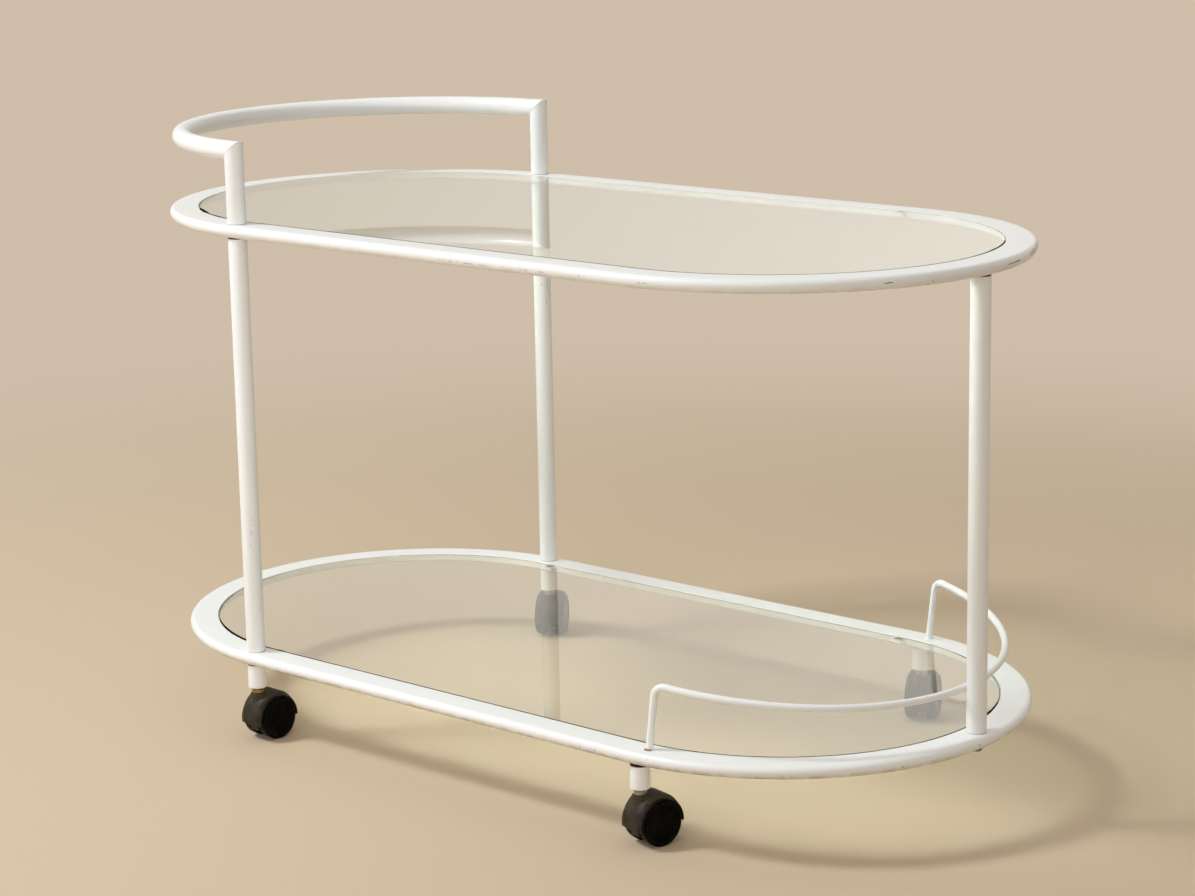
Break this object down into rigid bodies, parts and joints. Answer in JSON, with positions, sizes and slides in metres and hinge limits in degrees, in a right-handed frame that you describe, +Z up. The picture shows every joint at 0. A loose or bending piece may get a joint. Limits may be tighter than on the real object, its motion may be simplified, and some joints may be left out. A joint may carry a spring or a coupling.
{
  "type": "bar cart",
  "caption": "White tubular bar cart with oval glass shelves, a curved push handle, a low gallery rail and swivelling casters.",
  "frame": {"origin": "On the floor under the middle of the shelves.", "axes": "+X runs along the cart, away from the push handle and towards the gallery rail. +Y runs from the front, the camera's side, to the back. +Z is up from the floor."},
  "size_m": [1.1258, 0.5859, 0.712],
  "materials": {
    "white_enamel": "slightly warm white semi-gloss enamel",
    "clear_glass": "clear float glass with a light green-grey tint",
    "brown_pad": "soft brown pad",
    "black_plug": "black moulded plug",
    "zinc_steel": "zinc plated, slightly dulled",
    "black_steel": "black oxide, dull",
    "brass_finish": "yellow passivated",
    "caster_grey": "charcoal grey, satin",
    "wheel_black": "black, glossy"
  },
  "bodies": {
    "frame": {"upper_ring": "white_enamel", "lower_ring": "white_enamel", "upper_glass": "clear_glass", "lower_glass": "clear_glass", "upper_glass_tabs": "white_enamel", "lower_glass_tabs": "white_enamel", "upper_glass_pads": "brown_pad", "lower_glass_pads": "brown_pad", "handle_bow": "white_enamel", "handle_upright_front": "white_enamel", "handle_upright_back": "white_enamel", "post_front": "white_enamel", "post_back": "white_enamel", "post_end": "white_enamel", "gallery_rail": "white_enamel", "leg_front_left": "white_enamel", "leg_front_right": "white_enamel", "leg_back_right": "white_enamel", "leg_back_left": "white_enamel", "upright_plugs": "black_plug", "post_top_plugs": "black_plug", "post_bottom_plugs": "black_plug", "leg_inserts": "black_plug", "upper_ring_bushes": "zinc_steel", "lower_ring_bushes": "zinc_steel", "upper_joint_studs": "zinc_steel", "lower_joint_studs": "zinc_steel", "right_leg_studs": "zinc_steel", "end_post_stud": "zinc_steel", "end_post_bolt": "black_steel", "end_post_washer": "black_steel", "stem_front_left": "brass_finish", "stem_front_right": "zinc_steel", "stem_back_right": "zinc_steel", "stem_back_left": "zinc_steel"},
    "swivel_front_left": {"hood_front_left": "caster_grey", "axle_front_left": "zinc_steel"},
    "roller_a_front_left": {"wheel_a_front_left": "wheel_black"},
    "roller_b_front_left": {"wheel_b_front_left": "wheel_black"},
    "swivel_front_right": {"hood_front_right": "caster_grey", "axle_front_right": "zinc_steel"},
    "roller_a_front_right": {"wheel_a_front_right": "wheel_black"},
    "roller_b_front_right": {"wheel_b_front_right": "wheel_black"},
    "swivel_back_right": {"hood_back_right": "caster_grey", "axle_back_right": "zinc_steel"},
    "roller_a_back_right": {"wheel_a_back_right": "wheel_black"},
    "roller_b_back_right": {"wheel_b_back_right": "wheel_black"},
    "swivel_back_left": {"hood_back_left": "caster_grey", "axle_back_left": "zinc_steel"},
    "roller_a_back_left": {"wheel_a_back_left": "wheel_black"},
    "roller_b_back_left": {"wheel_b_back_left": "wheel_black"}
  },
  "joints": [
    {"name": "turn_front_left", "type": "hinge", "parent": "frame", "child": "swivel_front_left", "pos_m": [-0.295, -0.26, 0.0575], "axis": [0, 0, 1], "continuous": true},
    {"name": "roll_a_front_left", "type": "hinge", "parent": "swivel_front_left", "child": "roller_a_front_left", "pos_m": [-0.29415, -0.24382, 0.025], "axis": [-0.9986, 0.0523, 0], "continuous": true},
    {"name": "roll_b_front_left", "type": "hinge", "parent": "swivel_front_left", "child": "roller_b_front_left", "pos_m": [-0.29415, -0.24382, 0.025], "axis": [-0.9986, 0.0523, 0], "continuous": true},
    {"name": "turn_front_right", "type": "hinge", "parent": "frame", "child": "swivel_front_right", "pos_m": [0.295, -0.26, 0.0575], "axis": [0, 0, 1], "continuous": true},
    {"name": "roll_a_front_right", "type": "hinge", "parent": "swivel_front_right", "child": "roller_a_front_right", "pos_m": [0.29864, -0.24422, 0.025], "axis": [-0.9744, 0.225, 0], "continuous": true},
    {"name": "roll_b_front_right", "type": "hinge", "parent": "swivel_front_right", "child": "roller_b_front_right", "pos_m": [0.29864, -0.24422, 0.025], "axis": [-0.9744, 0.225, 0], "continuous": true},
    {"name": "turn_back_right", "type": "hinge", "parent": "frame", "child": "swivel_back_right", "pos_m": [0.295, 0.26, 0.0575], "axis": [0, 0, 1], "continuous": true},
    {"name": "roll_a_back_right", "type": "hinge", "parent": "swivel_back_right", "child": "roller_a_back_right", "pos_m": [0.28815, 0.27468, 0.025], "axis": [-0.9063, -0.4226, 0], "continuous": true},
    {"name": "roll_b_back_right", "type": "hinge", "parent": "swivel_back_right", "child": "roller_b_back_right", "pos_m": [0.28815, 0.27468, 0.025], "axis": [-0.9063, -0.4226, 0], "continuous": true},
    {"name": "turn_back_left", "type": "hinge", "parent": "frame", "child": "swivel_back_left", "pos_m": [-0.295, 0.26, 0.0575], "axis": [0, 0, 1], "continuous": true},
    {"name": "roll_a_back_left", "type": "hinge", "parent": "swivel_back_left", "child": "roller_a_back_left", "pos_m": [-0.30334, 0.27389, 0.025], "axis": [-0.8572, -0.515, 0], "continuous": true},
    {"name": "roll_b_back_left", "type": "hinge", "parent": "swivel_back_left", "child": "roller_b_back_left", "pos_m": [-0.30334, 0.27389, 0.025], "axis": [-0.8572, -0.515, 0], "continuous": true}
  ]
}
